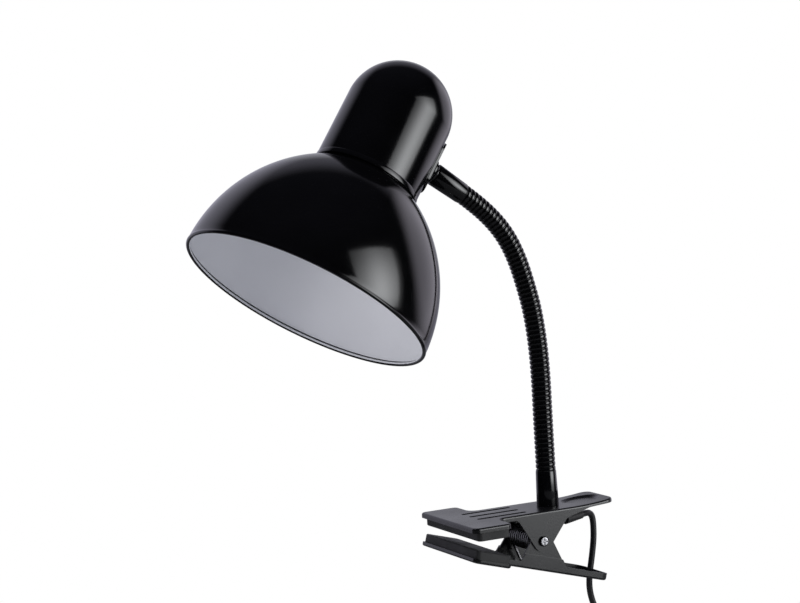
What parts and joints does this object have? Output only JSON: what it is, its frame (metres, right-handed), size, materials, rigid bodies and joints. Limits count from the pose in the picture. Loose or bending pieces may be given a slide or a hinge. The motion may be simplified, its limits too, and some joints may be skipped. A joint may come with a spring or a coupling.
{
  "type": "clamp lamp",
  "caption": "Clamp lamp: sprung two-jaw clamp, ribbed flexible arm and a bell shade that swivels on its end, with cord, inline switch and plug.",
  "frame": {"origin": "centre of the upper pad's lower face, where the clamp bears on what it holds", "axes": "+Z along the foot of the arm, away from the held board; +X from the jaws to the handles"},
  "size_m": [0.3122, 0.1642, 0.5704],
  "materials": {
    "enamel": "gloss black enamel",
    "enamel_white": "gloss black enamel outside, white inside",
    "pad_rubber": "matt",
    "plated_steel": "bright zinc",
    "spring_steel": "bright drawn",
    "cable": "satin",
    "black_plastic": "satin",
    "ceramic": "glazed",
    "brass_part": "bright",
    "pin_metal": "nickel"
  },
  "bodies": {
    "clamp": {"upper_jaw": "enamel", "upper_pad": "pad_rubber", "pivot_screw": "plated_steel", "pivot_nut": "plated_steel", "torsion_spring": "spring_steel", "base_ferrule": "enamel", "base_nipple": "plated_steel", "base_washer": "plated_steel", "base_nut": "plated_steel", "gooseneck_1": "enamel", "arm_cable_1": "cable", "cord_sleeve": "cable", "cord_run_1": "cable", "switch_top": "black_plastic", "switch_bottom": "black_plastic", "cord_run_2": "cable", "cord_coil": "cable", "cord_tie": "cable", "cord_run_3": "cable", "plug_body": "black_plastic", "plug_pins": "pin_metal"},
    "lower_clamp": {"lower_jaw": "enamel", "lower_pad": "pad_rubber"},
    "arm_2": {"gooseneck_2": "enamel", "arm_cable_2": "cable"},
    "arm_3": {"gooseneck_3": "enamel", "arm_cable_3": "cable"},
    "arm_4": {"gooseneck_4": "enamel", "arm_cable_4": "cable"},
    "arm_5": {"gooseneck_5": "enamel", "arm_cable_5": "cable"},
    "arm_6": {"gooseneck_6": "enamel", "arm_cable_6": "cable"},
    "arm_7": {"gooseneck_7": "enamel", "arm_cable_7": "cable"},
    "arm_8": {"gooseneck_8": "enamel", "arm_cable_8": "cable", "head_ferrule": "enamel", "swivel_collar": "enamel", "head_nipple": "plated_steel", "head_washer": "plated_steel", "head_nut": "plated_steel"},
    "head": {"saddle_plate": "enamel", "shade_cap": "enamel", "shade_bell": "enamel_white", "lampholder_bracket": "plated_steel", "lampholder_cap": "black_plastic", "lampholder_body": "black_plastic", "lampholder_insert": "ceramic", "threaded_shell": "brass_part", "centre_contact": "brass_part", "holder_nipple": "plated_steel", "holder_nut": "plated_steel", "lamp_wire": "cable"},
    "rocker": {"switch_rocker": "black_plastic"}
  },
  "joints": [
    {"name": "jaw_hinge", "type": "hinge", "parent": "clamp", "child": "lower_clamp", "pos_m": [0.0465, 0, -0.0107], "axis": [0, -1, 0], "range_deg": [0, 36], "stiffness_Nm_per_rad": 1.2, "springref_deg": -57.3, "deforming": ["torsion_spring"]},
    {"name": "arm_joint_1", "type": "hinge", "parent": "clamp", "child": "arm_2", "pos_m": [0.062, 0, 0.0584], "axis": [0, 1, 0], "range_deg": [-15, 15]},
    {"name": "arm_joint_2", "type": "hinge", "parent": "arm_2", "child": "arm_3", "pos_m": [0.062, 0, 0.084], "axis": [1, 0, 0], "range_deg": [-15, 15]},
    {"name": "arm_joint_3", "type": "hinge", "parent": "arm_3", "child": "arm_4", "pos_m": [0.06133, 0, 0.10959], "axis": [0, 1, 0], "range_deg": [-15, 15]},
    {"name": "arm_joint_4", "type": "hinge", "parent": "arm_4", "child": "arm_5", "pos_m": [0.05897, 0, 0.13507], "axis": [0.9912, 0, 0.1323], "range_deg": [-15, 15]},
    {"name": "arm_joint_5", "type": "hinge", "parent": "arm_5", "child": "arm_6", "pos_m": [0.05365, 0, 0.16009], "axis": [0, 1, 0], "range_deg": [-15, 15]},
    {"name": "arm_joint_6", "type": "hinge", "parent": "arm_6", "child": "arm_7", "pos_m": [0.04412, 0, 0.1838], "axis": [0.8878, 0, 0.4602], "range_deg": [-15, 15]},
    {"name": "arm_joint_7", "type": "hinge", "parent": "arm_7", "child": "arm_8", "pos_m": [0.02976, 0, 0.20493], "axis": [0, 1, 0], "range_deg": [-15, 15]},
    {"name": "head_swivel", "type": "hinge", "parent": "arm_8", "child": "head", "pos_m": [-0.04204, 0, 0.25966], "axis": [0.8151, 0, -0.5793], "range_deg": [-66, 54], "deforming": ["lamp_wire"]},
    {"name": "rocker_hinge", "type": "hinge", "parent": "clamp", "child": "rocker", "pos_m": [0.1065, 0.0078, -0.1145], "axis": [-1, 0, 0], "range_deg": [0, 14]}
  ]
}
